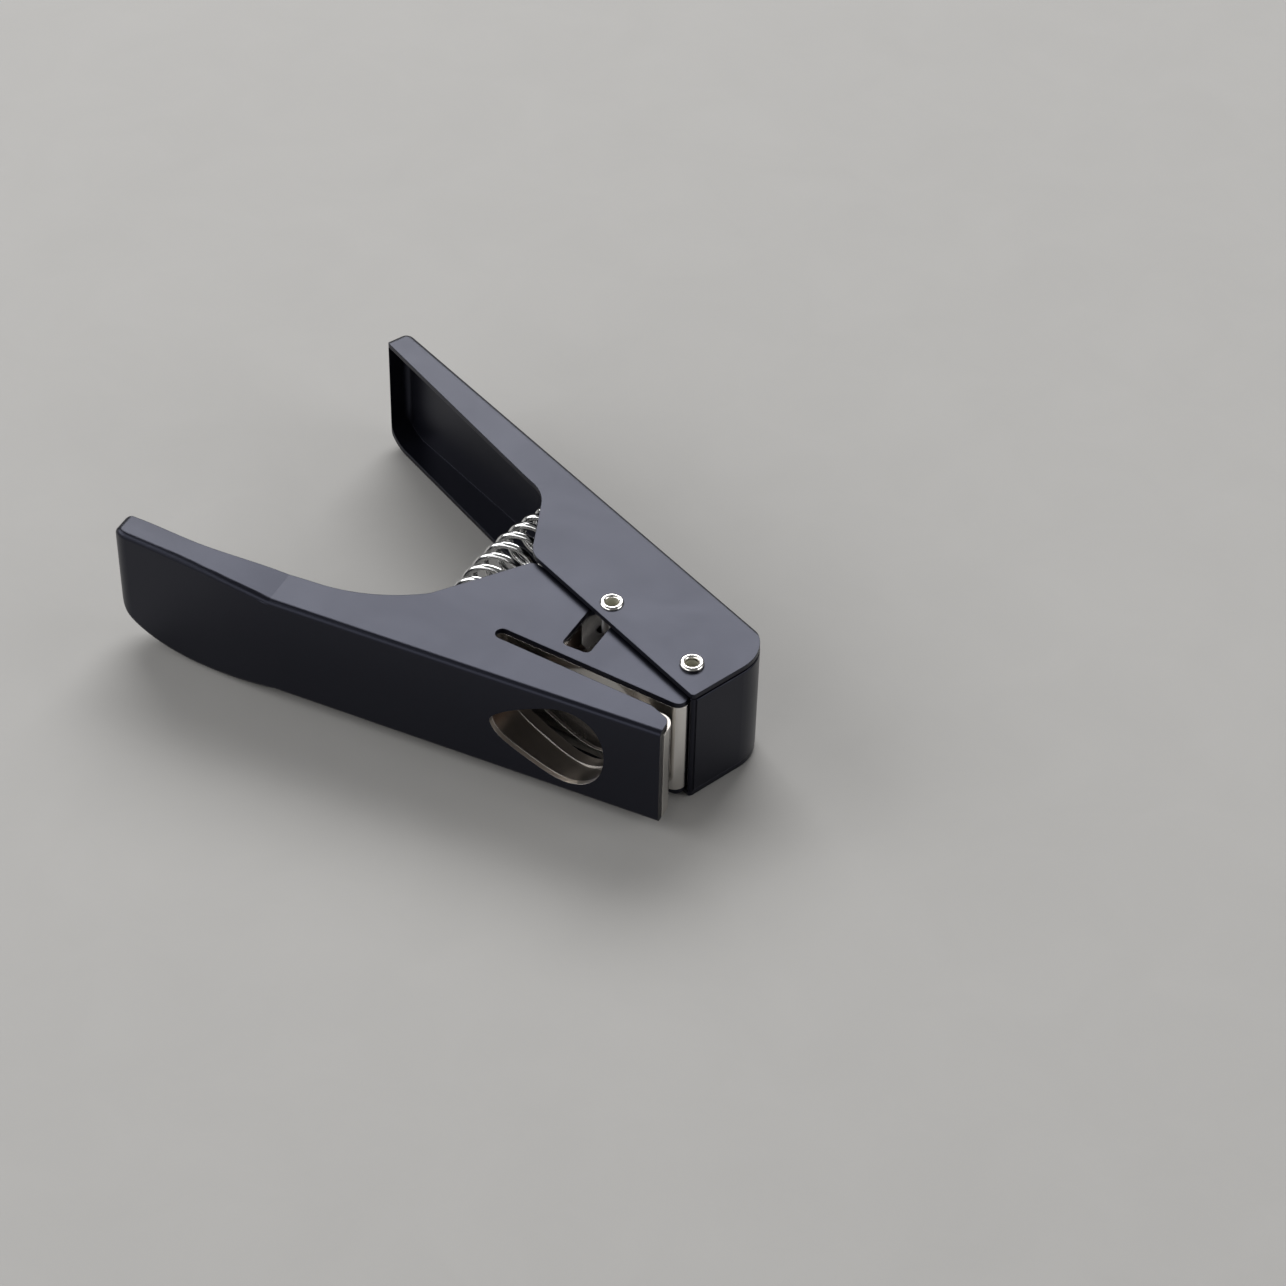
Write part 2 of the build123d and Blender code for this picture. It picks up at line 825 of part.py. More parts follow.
shapes = {
    "body_shell": build_body_shell(),
    "lever_shell": build_lever_shell(),
    "die_block": build_die_block(),
    "guide_block": build_guide_block(),
    "slot_stop": build_slot_stop(),
    "pivot_rivet": build_rivet(pivot_proud, 0, 0),
    "drive_rivet": build_rivet(drive_proud, *drive_place()),
    "return_spring": build_spring(),
    "punch": build_punch(),
    "block_screws": build_block_screws(),
    "block_dowels": build_block_dowels(),
    "pivot_sleeve": build_pivot_sleeve(),
    "pivot_washer_top": build_pivot_washer(body_high),
    "pivot_washer_bottom": build_pivot_washer(body_low - side_gap),
    "drive_sleeve": build_drive_sleeve(),
    "drive_washer_top": build_drive_washer(lever_high - sheet - drive_washer_thickness()),
    "drive_washer_bottom": build_drive_washer(lever_low + sheet),
    "body_spring_post": build_body_post(),
    "lever_spring_post": build_lever_post(),
}

os.makedirs("parts", exist_ok=True)
for name, shape in shapes.items():
    export_step(shape, "parts/" + name + ".step")
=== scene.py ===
import sys
import logging
import math
from dataclasses import dataclass, field
from enum import Enum

import bpy
import numpy as np
from mathutils import Matrix, Vector


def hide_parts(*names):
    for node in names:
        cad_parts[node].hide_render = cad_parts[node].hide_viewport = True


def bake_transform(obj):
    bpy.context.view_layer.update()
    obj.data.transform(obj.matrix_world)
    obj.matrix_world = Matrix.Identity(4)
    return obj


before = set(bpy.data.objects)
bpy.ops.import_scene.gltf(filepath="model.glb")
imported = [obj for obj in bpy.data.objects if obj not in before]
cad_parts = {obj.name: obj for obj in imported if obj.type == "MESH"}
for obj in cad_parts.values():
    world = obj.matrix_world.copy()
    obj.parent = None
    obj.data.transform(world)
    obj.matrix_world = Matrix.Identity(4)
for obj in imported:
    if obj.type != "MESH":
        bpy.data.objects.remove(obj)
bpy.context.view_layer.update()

log = logging.getLogger("pick_punch")

MM = 0.001
Colour = tuple[float, float, float]
Point = tuple[float, float, float]
Socket = bpy.types.NodeSocket
Tree = bpy.types.NodeTree

# How many directions the rounding of sharp edges looks in.
BEVEL_SAMPLES = 6
# Name of the UV map that runs round and along the spring's wire.
WIRE_UV = "wire"


class Side(Enum):
    """Which of the two hinged halves a piece belongs to."""

    DIE_HANDLE = "frame"
    LEVER = "lever"


@dataclass
class NodeGroups:
    """Shader node groups that several finishes share, each built once.

    Spans are the two ends of the value that a mask is stretched from. Scales are the noise's waves in a metre.
    """

    peel_share: float = 0.35
    grain_detail: float = 2.0
    wear_cosines: tuple[float, float] = (0.99, 0.8)
    chip_scale: float = 420.0
    chip_detail: float = 3.0
    chip_span: tuple[float, float] = (0.42, 0.7)
    smudge_scale: float = 34.0
    smudge_detail: float = 5.0
    smudge_roughness: float = 0.62
    smudge_swirl: float = 0.6
    smudge_span: tuple[float, float] = (0.3, 0.7)
    line_detail: float = 3.0
    wall_tilt: float = 0.5
    built: dict[str, Tree] = field(default_factory=dict)

    def start(self, name: str, inputs: dict[str, float], output: str) -> Tree:
        """Makes an empty group with its sockets.

        Args:
            name: the group's name.
            inputs: each input's name and default value.
            output: the output's name.

        Returns:
            The new node group.
        """
        tree = bpy.data.node_groups.new(name, "ShaderNodeTree")
        for label, value in inputs.items():
            socket = tree.interface.new_socket(label, in_out="INPUT", socket_type="NodeSocketFloat")
            socket.default_value = value
        tree.interface.new_socket(output, in_out="OUTPUT", socket_type="NodeSocketFloat")
        tree.nodes.new("NodeGroupInput").name = "In"
        tree.nodes.new("NodeGroupOutput").name = "Out"
        self.built[name] = tree
        return tree

    def grain(self) -> Tree:
        """Fine even grain, as in powder coat: noise on Object coordinates, with a coarser orange peel mixed in.

        Returns:
            A group with inputs Grain Size and Peel Size, in metres, and output Height.
        """
        if "grain" in self.built:
            return self.built["grain"]
        tree = self.start("grain", {"Grain Size": 0.4 * MM, "Peel Size": 2.0 * MM}, "Height")
        place = tree.nodes.new("ShaderNodeTexCoord")
        total = tree.nodes.new("ShaderNodeMix")
        total.inputs["Factor"].default_value = self.peel_share
        for label, slot in (("Grain Size", "A"), ("Peel Size", "B")):
            scale = tree.nodes.new("ShaderNodeMath")
            scale.operation = "DIVIDE"
            scale.inputs[0].default_value = 1.0
            tree.links.new(tree.nodes["In"].outputs[label], scale.inputs[1])
            noise = tree.nodes.new("ShaderNodeTexNoise")
            noise.inputs["Detail"].default_value = self.grain_detail
            tree.links.new(place.outputs["Object"], noise.inputs["Vector"])
            tree.links.new(scale.outputs[0], noise.inputs["Scale"])
            tree.links.new(noise.outputs["Fac"], total.inputs[slot])
        tree.links.new(total.outputs["Result"], tree.nodes["Out"].inputs["Height"])
        return tree

    def edge_wear(self) -> Tree:
        """Mask of worn edges: how far a rounded normal turns from the true one, broken up by noise.

        Returns:
            A group with inputs Width, in metres, and Amount, and output Mask.
        """
        if "edge_wear" in self.built:
            return self.built["edge_wear"]
        tree = self.start("edge_wear", {"Width": 0.4 * MM, "Amount": 0.5}, "Mask")
        bevel = tree.nodes.new("ShaderNodeBevel")
        bevel.samples = BEVEL_SAMPLES
        tree.links.new(tree.nodes["In"].outputs["Width"], bevel.inputs["Radius"])
        geometry = tree.nodes.new("ShaderNodeNewGeometry")
        dot = tree.nodes.new("ShaderNodeVectorMath")
        dot.operation = "DOT_PRODUCT"
        tree.links.new(bevel.outputs["Normal"], dot.inputs[0])
        tree.links.new(geometry.outputs["Normal"], dot.inputs[1])
        ramp = tree.nodes.new("ShaderNodeMapRange")
        ramp.inputs["From Min"].default_value, ramp.inputs["From Max"].default_value = self.wear_cosines
        tree.links.new(dot.outputs["Value"], ramp.inputs["Value"])
        place = tree.nodes.new("ShaderNodeTexCoord")
        noise = tree.nodes.new("ShaderNodeTexNoise")
        noise.inputs["Scale"].default_value = self.chip_scale
        noise.inputs["Detail"].default_value = self.chip_detail
        tree.links.new(place.outputs["Object"], noise.inputs["Vector"])
        chips = tree.nodes.new("ShaderNodeMapRange")
        chips.inputs["From Min"].default_value, chips.inputs["From Max"].default_value = self.chip_span
        tree.links.new(noise.outputs["Fac"], chips.inputs["Value"])
        product = tree.nodes.new("ShaderNodeMath")
        product.operation = "MULTIPLY"
        tree.links.new(ramp.outputs["Result"], product.inputs[0])
        tree.links.new(chips.outputs["Result"], product.inputs[1])
        scaled = tree.nodes.new("ShaderNodeMath")
        scaled.operation = "MULTIPLY"
        tree.links.new(product.outputs[0], scaled.inputs[0])
        tree.links.new(tree.nodes["In"].outputs["Amount"], scaled.inputs[1])
        tree.links.new(scaled.outputs[0], tree.nodes["Out"].inputs["Mask"])
        return tree

    def smudge(self) -> Tree:
        """Slow changes, as handling leaves them: one soft, swirled noise on Object coordinates.

        Returns:
            A group with inputs Low and High, the ends of the value that comes out, and output Value.
        """
        if "smudge" in self.built:
            return self.built["smudge"]
        tree = self.start("smudge", {"Low": 0.3, "High": 0.4}, "Value")
        place = tree.nodes.new("ShaderNodeTexCoord")
        wide = tree.nodes.new("ShaderNodeTexNoise")
        wide.inputs["Scale"].default_value = self.smudge_scale
        wide.inputs["Detail"].default_value = self.smudge_detail
        wide.inputs["Roughness"].default_value = self.smudge_roughness
        wide.inputs["Distortion"].default_value = self.smudge_swirl
        tree.links.new(place.outputs["Object"], wide.inputs["Vector"])
        spread = tree.nodes.new("ShaderNodeMapRange")
        spread.inputs["From Min"].default_value, spread.inputs["From Max"].default_value = self.smudge_span
        tree.links.new(wide.outputs["Fac"], spread.inputs["Value"])
        tree.links.new(tree.nodes["In"].outputs["Low"], spread.inputs["To Min"])
        tree.links.new(tree.nodes["In"].outputs["High"], spread.inputs["To Max"])
        tree.links.new(spread.outputs["Result"], tree.nodes["Out"].inputs["Value"])
        return tree

    def drawn_lines(self) -> Tree:
        """Fine lines of grinding or drawing: noise squeezed by a scale of its own on each Object axis.

        Returns:
            A group with inputs X, Y and Z, the noise's scale on each axis, and output Lines.
        """
        if "drawn_lines" in self.built:
            return self.built["drawn_lines"]
        tree = self.start("drawn_lines", {"X": 40.0, "Y": 40.0, "Z": 2500.0}, "Lines")
        place = tree.nodes.new("ShaderNodeTexCoord")
        join = tree.nodes.new("ShaderNodeCombineXYZ")
        for axis in "XYZ":
            tree.links.new(tree.nodes["In"].outputs[axis], join.inputs[axis])
        stretch = tree.nodes.new("ShaderNodeVectorMath")
        stretch.operation = "MULTIPLY"
        tree.links.new(place.outputs["Object"], stretch.inputs[0])
        tree.links.new(join.outputs[0], stretch.inputs[1])
        noise = tree.nodes.new("ShaderNodeTexNoise")
        noise.inputs["Scale"].default_value = 1.0
        noise.inputs["Detail"].default_value = self.line_detail
        tree.links.new(stretch.outputs[0], noise.inputs["Vector"])
        tree.links.new(noise.outputs["Fac"], tree.nodes["Out"].inputs["Lines"])
        return tree

    def upward(self) -> Tree:
        """Mask of faces that look up, with a soft limit on the normal's Z.

        Returns:
            A group with inputs Start and Full, the normal's Z where the mask begins and is whole, and output Mask.
        """
        if "upward" in self.built:
            return self.built["upward"]
        tree = self.start("upward", {"Start": 0.5, "Full": 0.8}, "Mask")
        geometry = tree.nodes.new("ShaderNodeNewGeometry")
        normal = tree.nodes.new("ShaderNodeSeparateXYZ")
        tree.links.new(geometry.outputs["Normal"], normal.inputs[0])
        ramp = tree.nodes.new("ShaderNodeMapRange")
        tree.links.new(normal.outputs["Z"], ramp.inputs["Value"])
        tree.links.new(tree.nodes["In"].outputs["Start"], ramp.inputs["From Min"])
        tree.links.new(tree.nodes["In"].outputs["Full"], ramp.inputs["From Max"])
        tree.links.new(ramp.outputs["Result"], tree.nodes["Out"].inputs["Mask"])
        return tree

    def below(self) -> Tree:
        """Mask of what lies under a height, on Object coordinates.

        Returns:
            A group with input Top, in metres, and output Mask.
        """
        if "below" in self.built:
            return self.built["below"]
        tree = self.start("below", {"Top": 0.0}, "Mask")
        place = tree.nodes.new("ShaderNodeTexCoord")
        spot = tree.nodes.new("ShaderNodeSeparateXYZ")
        tree.links.new(place.outputs["Object"], spot.inputs[0])
        under = tree.nodes.new("ShaderNodeMath")
        under.operation = "LESS_THAN"
        tree.links.new(spot.outputs["Z"], under.inputs[0])
        tree.links.new(tree.nodes["In"].outputs["Top"], under.inputs[1])
        tree.links.new(under.outputs[0], tree.nodes["Out"].inputs["Mask"])
        return tree

    def cut_wall(self) -> Tree:
        """Mask of a hole's wall: near a middle on Object X and Z, and where the normal turns away from Y.

        Returns:
            A group with inputs X, Half X, Z and Half Z, the middle and half widths in metres, and output Mask.
        """
        if "cut_wall" in self.built:
            return self.built["cut_wall"]
        sockets = {"X": 0.0, "Half X": 10.0 * MM, "Z": 0.0, "Half Z": 10.0 * MM}
        tree = self.start("cut_wall", sockets, "Mask")
        place = tree.nodes.new("ShaderNodeTexCoord")
        spot = tree.nodes.new("ShaderNodeSeparateXYZ")
        tree.links.new(place.outputs["Object"], spot.inputs[0])
        geometry = tree.nodes.new("ShaderNodeNewGeometry")
        normal = tree.nodes.new("ShaderNodeSeparateXYZ")
        tree.links.new(geometry.outputs["Normal"], normal.inputs[0])
        mask = tree.nodes.new("ShaderNodeMath")
        mask.operation = "COMPARE"
        mask.inputs[1].default_value = 0.0
        mask.inputs[2].default_value = self.wall_tilt
        tree.links.new(normal.outputs["Y"], mask.inputs[0])
        for axis in "XZ":
            near = tree.nodes.new("ShaderNodeMath")
            near.operation = "COMPARE"
            tree.links.new(spot.outputs[axis], near.inputs[0])
            tree.links.new(tree.nodes["In"].outputs[axis], near.inputs[1])
            tree.links.new(tree.nodes["In"].outputs["Half " + axis], near.inputs[2])
            both = tree.nodes.new("ShaderNodeMath")
            both.operation = "MULTIPLY"
            tree.links.new(mask.outputs[0], both.inputs[0])
            tree.links.new(near.outputs[0], both.inputs[1])
            mask = both
        tree.links.new(mask.outputs[0], tree.nodes["Out"].inputs["Mask"])
        return tree


GROUPS = NodeGroups()


def place_group(tree: Tree, group: Tree, **values: float) -> bpy.types.Node:
    """Places a group in a material and sets its inputs.

    Args:
        tree: the material's node tree.
        group: the group to place.
        **values: input values, with underscores for the spaces of the inputs' names.

    Returns:
        The new group node.
    """
    node = tree.nodes.new("ShaderNodeGroup")
    node.node_tree = group
    for name, value in values.items():
        node.inputs[name.replace("_", " ")].default_value = value
    return node


def mix_colours(tree: Tree, factor: Socket, first: Colour, second: Colour) -> Socket:
    """Mixes two colours by a mask.

    Args:
        tree: the material's node tree.
        factor: the mask, 0 for the first colour and 1 for the second.
        first: linear colour.
        second: linear colour.

    Returns:
        The mixed colour's socket.
    """
    mix = tree.nodes.new("ShaderNodeMix")
    mix.data_type = "RGBA"
    mix.inputs["A"].default_value = (*first, 1.0)
    mix.inputs["B"].default_value = (*second, 1.0)
    tree.links.new(factor, mix.inputs["Factor"])
    return mix.outputs["Result"]


def mix_over(tree: Tree, factor: Socket, under: Socket, over: Colour | float) -> Socket:
    """Lays one colour or value over another by a mask.

    Args:
        tree: the material's node tree.
        factor: the mask, 1 where the new colour or value shows.
        under: the colour or value below.
        over: linear colour or plain value on top.

    Returns:
        The mixed socket.
    """
    mix = tree.nodes.new("ShaderNodeMix")
    if isinstance(over, tuple):
        mix.data_type = "RGBA"
        mix.inputs["B"].default_value = (*over, 1.0)
    else:
        mix.inputs["B"].default_value = over
    tree.links.new(under, mix.inputs["A"])
    tree.links.new(factor, mix.inputs["Factor"])
    return mix.outputs["Result"]


@dataclass(frozen=True)
class HoleWall:
    """Bare metal, or painted shade, on the wall of the pick hole, in the span of X and Z that the hole takes up."""

    colour: Colour
    roughness: float
    middle: tuple[float, float] = (-28.45 * MM, 18.05 * MM)
    half: tuple[float, float] = (17.0 * MM, 12.9 * MM)

    def mask(self, tree: Tree) -> Socket:
        """Mask of the wall in a material.

        Args:
            tree: the material's node tree.

        Returns:
            The mask's socket.
        """
        x, z = self.middle
        half_x, half_z = self.half
        node = place_group(tree, GROUPS.cut_wall(), X=x, Z=z, Half_X=half_x, Half_Z=half_z)
        return node.outputs["Mask"]


def rounded_bump(tree: Tree, height: Socket, depth: float, edge: float) -> Socket:
    """Bump from a height, on a normal that is rounded over sharp edges.

    Args:
        tree: the material's node tree.
        height: height between 0 and 1.
        depth: the height's real depth, in metres.
        edge: radius of the rounded edges, in metres.

    Returns:
        The normal's socket.
    """
    bevel = tree.nodes.new("ShaderNodeBevel")
    bevel.samples = BEVEL_SAMPLES
    bevel.inputs["Radius"].default_value = edge
    bump = tree.nodes.new("ShaderNodeBump")
    bump.inputs["Distance"].default_value = depth
    bump.inputs["Strength"].default_value = 1.0
    tree.links.new(height, bump.inputs["Height"])
    tree.links.new(bevel.outputs["Normal"], bump.inputs["Normal"])
    return bump.outputs["Normal"]


@dataclass(frozen=True)
class SatinPaint:
    """Black powder coat with a cool sheen, faint peel, worn edges and bare metal where the pick hole is cut."""

    name: str = "satin_black_paint"
    colour: Colour = (0.004, 0.0041, 0.0065)
    worn: Colour = (0.016, 0.016, 0.021)
    sheen: Colour = (0.70, 0.74, 1.0)
    specular: float = 0.30
    gloss_low: float = 0.30
    gloss_high: float = 0.37
    wear_width: float = 0.3 * MM
    wear_amount: float = 0.5
    grain: float = 0.35 * MM
    peel: float = 1.6 * MM
    depth: float = 0.006 * MM
    edge: float = 0.25 * MM
    bare: HoleWall = HoleWall((0.62, 0.58, 0.53), 0.34)

    def build(self) -> bpy.types.Material:
        """Builds the paint's nodes.

        Returns:
            The material.
        """
        material = bpy.data.materials.new(self.name)
        material.use_nodes = True
        tree = material.node_tree
        shader = tree.nodes["Principled BSDF"]
        shader.inputs["Specular IOR Level"].default_value = self.specular
        shader.inputs["Specular Tint"].default_value = (*self.sheen, 1.0)
        wear = place_group(tree, GROUPS.edge_wear(), Width=self.wear_width, Amount=self.wear_amount)
        coat = mix_colours(tree, wear.outputs["Mask"], self.colour, self.worn)
        wall = self.bare.mask(tree)
        tree.links.new(mix_over(tree, wall, coat, self.bare.colour), shader.inputs["Base Color"])
        tree.links.new(wall, shader.inputs["Metallic"])
        gloss = place_group(tree, GROUPS.smudge(), Low=self.gloss_low, High=self.gloss_high)
        roughness = mix_over(tree, wall, gloss.outputs["Value"], self.bare.roughness)
        tree.links.new(roughness, shader.inputs["Roughness"])
        grain = place_group(tree, GROUPS.grain(), Grain_Size=self.grain, Peel_Size=self.peel)
        normal = rounded_bump(tree, grain.outputs["Height"], self.depth, self.edge)
        tree.links.new(normal, shader.inputs["Normal"])
        return material


@dataclass(frozen=True)
class Metal:
    """Bare or plated metal with drawn or ground lines and a darker film in patches.

    Optional fields paint shade on a hole's wall, paint shade on the faces that look up, and dull all that lies
    under a height.
    """

    name: str
    colour: Colour
    film: Colour
    gloss_low: float
    gloss_high: float
    lines: tuple[float, float, float] = (60.0, 60.0, 2500.0)
    depth: float = 0.004 * MM
    edge: float = 0.15 * MM
    wall_shade: HoleWall | None = None
    top_shade: Colour | None = None
    top_span: tuple[float, float] = (0.5, 0.8)
    dull_below: float | None = None
    dull: Colour = (0.80, 0.79, 0.70)
    dull_roughness: float = 0.62

    def build(self) -> bpy.types.Material:
        """Builds the metal's nodes.

        Returns:
            The material.
        """
        material = bpy.data.materials.new(self.name)
        material.use_nodes = True
        tree = material.node_tree
        shader = tree.nodes["Principled BSDF"]
        shader.inputs["Metallic"].default_value = 1.0
        gloss = place_group(tree, GROUPS.smudge(), Low=self.gloss_low, High=self.gloss_high)
        roughness = gloss.outputs["Value"]
        film = place_group(tree, GROUPS.smudge(), Low=0.0, High=1.0)
        colour = mix_colours(tree, film.outputs["Value"], self.colour, self.film)
        # Painted shade on the hole's wall, when given.
        if self.wall_shade is not None:
            wall = self.wall_shade.mask(tree)
            roughness = mix_over(tree, wall, roughness, self.wall_shade.roughness)
            colour = mix_over(tree, wall, colour, self.wall_shade.colour)
        # Painted shade on the faces that look up, when given.
        if self.top_shade is not None:
            start, full = self.top_span
            up = place_group(tree, GROUPS.upward(), Start=start, Full=full)
            colour = mix_over(tree, up.outputs["Mask"], colour, self.top_shade)
        if self.dull_below is not None:
            under = place_group(tree, GROUPS.below(), Top=self.dull_below)
            roughness = mix_over(tree, under.outputs["Mask"], roughness, self.dull_roughness)
            colour = mix_over(tree, under.outputs["Mask"], colour, self.dull)
        tree.links.new(roughness, shader.inputs["Roughness"])
        tree.links.new(colour, shader.inputs["Base Color"])
        x, y, z = self.lines
        lines = place_group(tree, GROUPS.drawn_lines(), X=x, Y=y, Z=z)
        normal = rounded_bump(tree, lines.outputs["Lines"], self.depth, self.edge)
        tree.links.new(normal, shader.inputs["Normal"])
        return material


# Painted shade: the pick hole's walls in the nickel die and guide are painted dark brown, in place of the dark
# inside that they reflect.
WALL_SHADE = HoleWall((0.22, 0.17, 0.14), 0.36)
# Painted shade: nickel faces that look up are painted near black, so that they show no highlight of the lights
# above.
NICKEL = Metal(
    "nickel_plate", (0.86, 0.84, 0.81), (0.74, 0.70, 0.65), 0.14, 0.24, wall_shade=WALL_SHADE, top_shade=(0.16, 0.15, 0.14)
)
RIVET = Metal(
    "bright_rivet", (0.86, 0.85, 0.82), (0.76, 0.74, 0.7), 0.16, 0.26, (400.0, 400.0, 400.0), dull_below=35.4 * MM
)
TOOL_STEEL = Metal("ground_tool_steel", (0.55, 0.52, 0.49), (0.4, 0.37, 0.34), 0.2, 0.34, (2200.0, 60.0, 60.0))
ZINC = Metal("zinc_plate", (0.62, 0.63, 0.66), (0.5, 0.51, 0.54), 0.25, 0.4, (500.0, 500.0, 500.0))
OXIDE = Metal("black_oxide", (0.06, 0.06, 0.065), (0.03, 0.03, 0.034), 0.3, 0.45, (900.0, 900.0, 900.0))


@dataclass(frozen=True)
class DrawnWire:
    """Bright spring wire, with die lines that run along it."""

    name: str = "bright_spring_wire"
    colour: Colour = (0.8, 0.8, 0.79)
    film: Colour = (0.6, 0.6, 0.6)
    gloss_low: float = 0.12
    gloss_high: float = 0.22
    lines: tuple[float, float, float] = (26.0, 120.0, 1.0)
    line_detail: float = 3.0
    depth: float = 0.004 * MM

    def build(self) -> bpy.types.Material:
        """Builds the wire's nodes. Its lines read the tube's own UV map, which runs round and along the wire.

        Returns:
            The material.
        """
        material = bpy.data.materials.new(self.name)
        material.use_nodes = True
        tree = material.node_tree
        shader = tree.nodes["Principled BSDF"]
        shader.inputs["Metallic"].default_value = 1.0
        uv = tree.nodes.new("ShaderNodeUVMap")
        uv.uv_map = WIRE_UV
        stretch = tree.nodes.new("ShaderNodeVectorMath")
        stretch.operation = "MULTIPLY"
        stretch.inputs[1].default_value = self.lines
        tree.links.new(uv.outputs["UV"], stretch.inputs[0])
        noise = tree.nodes.new("ShaderNodeTexNoise")
        noise.inputs["Scale"].default_value = 1.0
        noise.inputs["Detail"].default_value = self.line_detail
        tree.links.new(stretch.outputs[0], noise.inputs["Vector"])
        colour = mix_colours(tree, noise.outputs["Fac"], self.colour, self.film)
        tree.links.new(colour, shader.inputs["Base Color"])
        gloss = place_group(tree, GROUPS.smudge(), Low=self.gloss_low, High=self.gloss_high)
        tree.links.new(gloss.outputs["Value"], shader.inputs["Roughness"])
        bump = tree.nodes.new("ShaderNodeBump")
        bump.inputs["Distance"].default_value = self.depth
        tree.links.new(noise.outputs["Fac"], bump.inputs["Height"])
        tree.links.new(bump.outputs["Normal"], shader.inputs["Normal"])
        return material


def dress(node: str, material: bpy.types.Material) -> None:
    """Gives a CAD node its material.

    Args:
        node: the CAD node's name.
        material: the finish that it gets.
    """
    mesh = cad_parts[node].data
    mesh.materials.clear()
    mesh.materials.append(material)
    log.info("dressed %s in %s", node, material.name)


def mesh_object(
    name: str, rows: np.ndarray, uv: np.ndarray, material: bpy.types.Material
) -> bpy.types.Object:
    """Makes a tube from rings of points: each face joins two neighbours of a ring to the same two of the next.

    The tube is closed where its first and last ring are shrunk to a point.

    Args:
        name: the piece's name.
        rows: rings of points, shaped (rings, points, 3), in metres.
        uv: UV of each ring and point, one more point than the ring has, shaped (rings, points + 1, 2).
        material: the piece's finish.

    Returns:
        The new object, at the origin.
    """
    rings, points = rows.shape[:2]
    ring = np.arange(rings - 1)[:, None]
    point = np.arange(points)[None, :]
    after = (point + 1) % points
    here, there = ring * points, (ring + 1) * points
    faces = np.stack([here + point, here + after, there + after, there + point], axis=-1).reshape(-1, 4)
    here, there = ring * (points + 1), (ring + 1) * (points + 1)
    corners = np.stack([here + point, here + point + 1, there + point + 1, there + point], axis=-1)
    mesh = bpy.data.meshes.new(name)
    mesh.vertices.add(rings * points)
    mesh.vertices.foreach_set("co", rows.astype(np.float32).ravel())
    mesh.loops.add(faces.size)
    mesh.loops.foreach_set("vertex_index", faces.astype(np.int32).ravel())
    mesh.polygons.add(len(faces))
    mesh.polygons.foreach_set("loop_start", np.arange(0, faces.size, 4, dtype=np.int32))
    mesh.polygons.foreach_set("use_smooth", np.ones(len(faces), dtype=bool))
    layer = mesh.uv_layers.new(name=WIRE_UV)
    layer.data.foreach_set("uv", uv.reshape(-1, 2)[corners.ravel()].astype(np.float32).ravel())
    mesh.update(calc_edges=True)
    mesh.materials.append(material)
    piece = bpy.data.objects.new(name, mesh)
    bpy.context.scene.collection.objects.link(piece)
    return piece


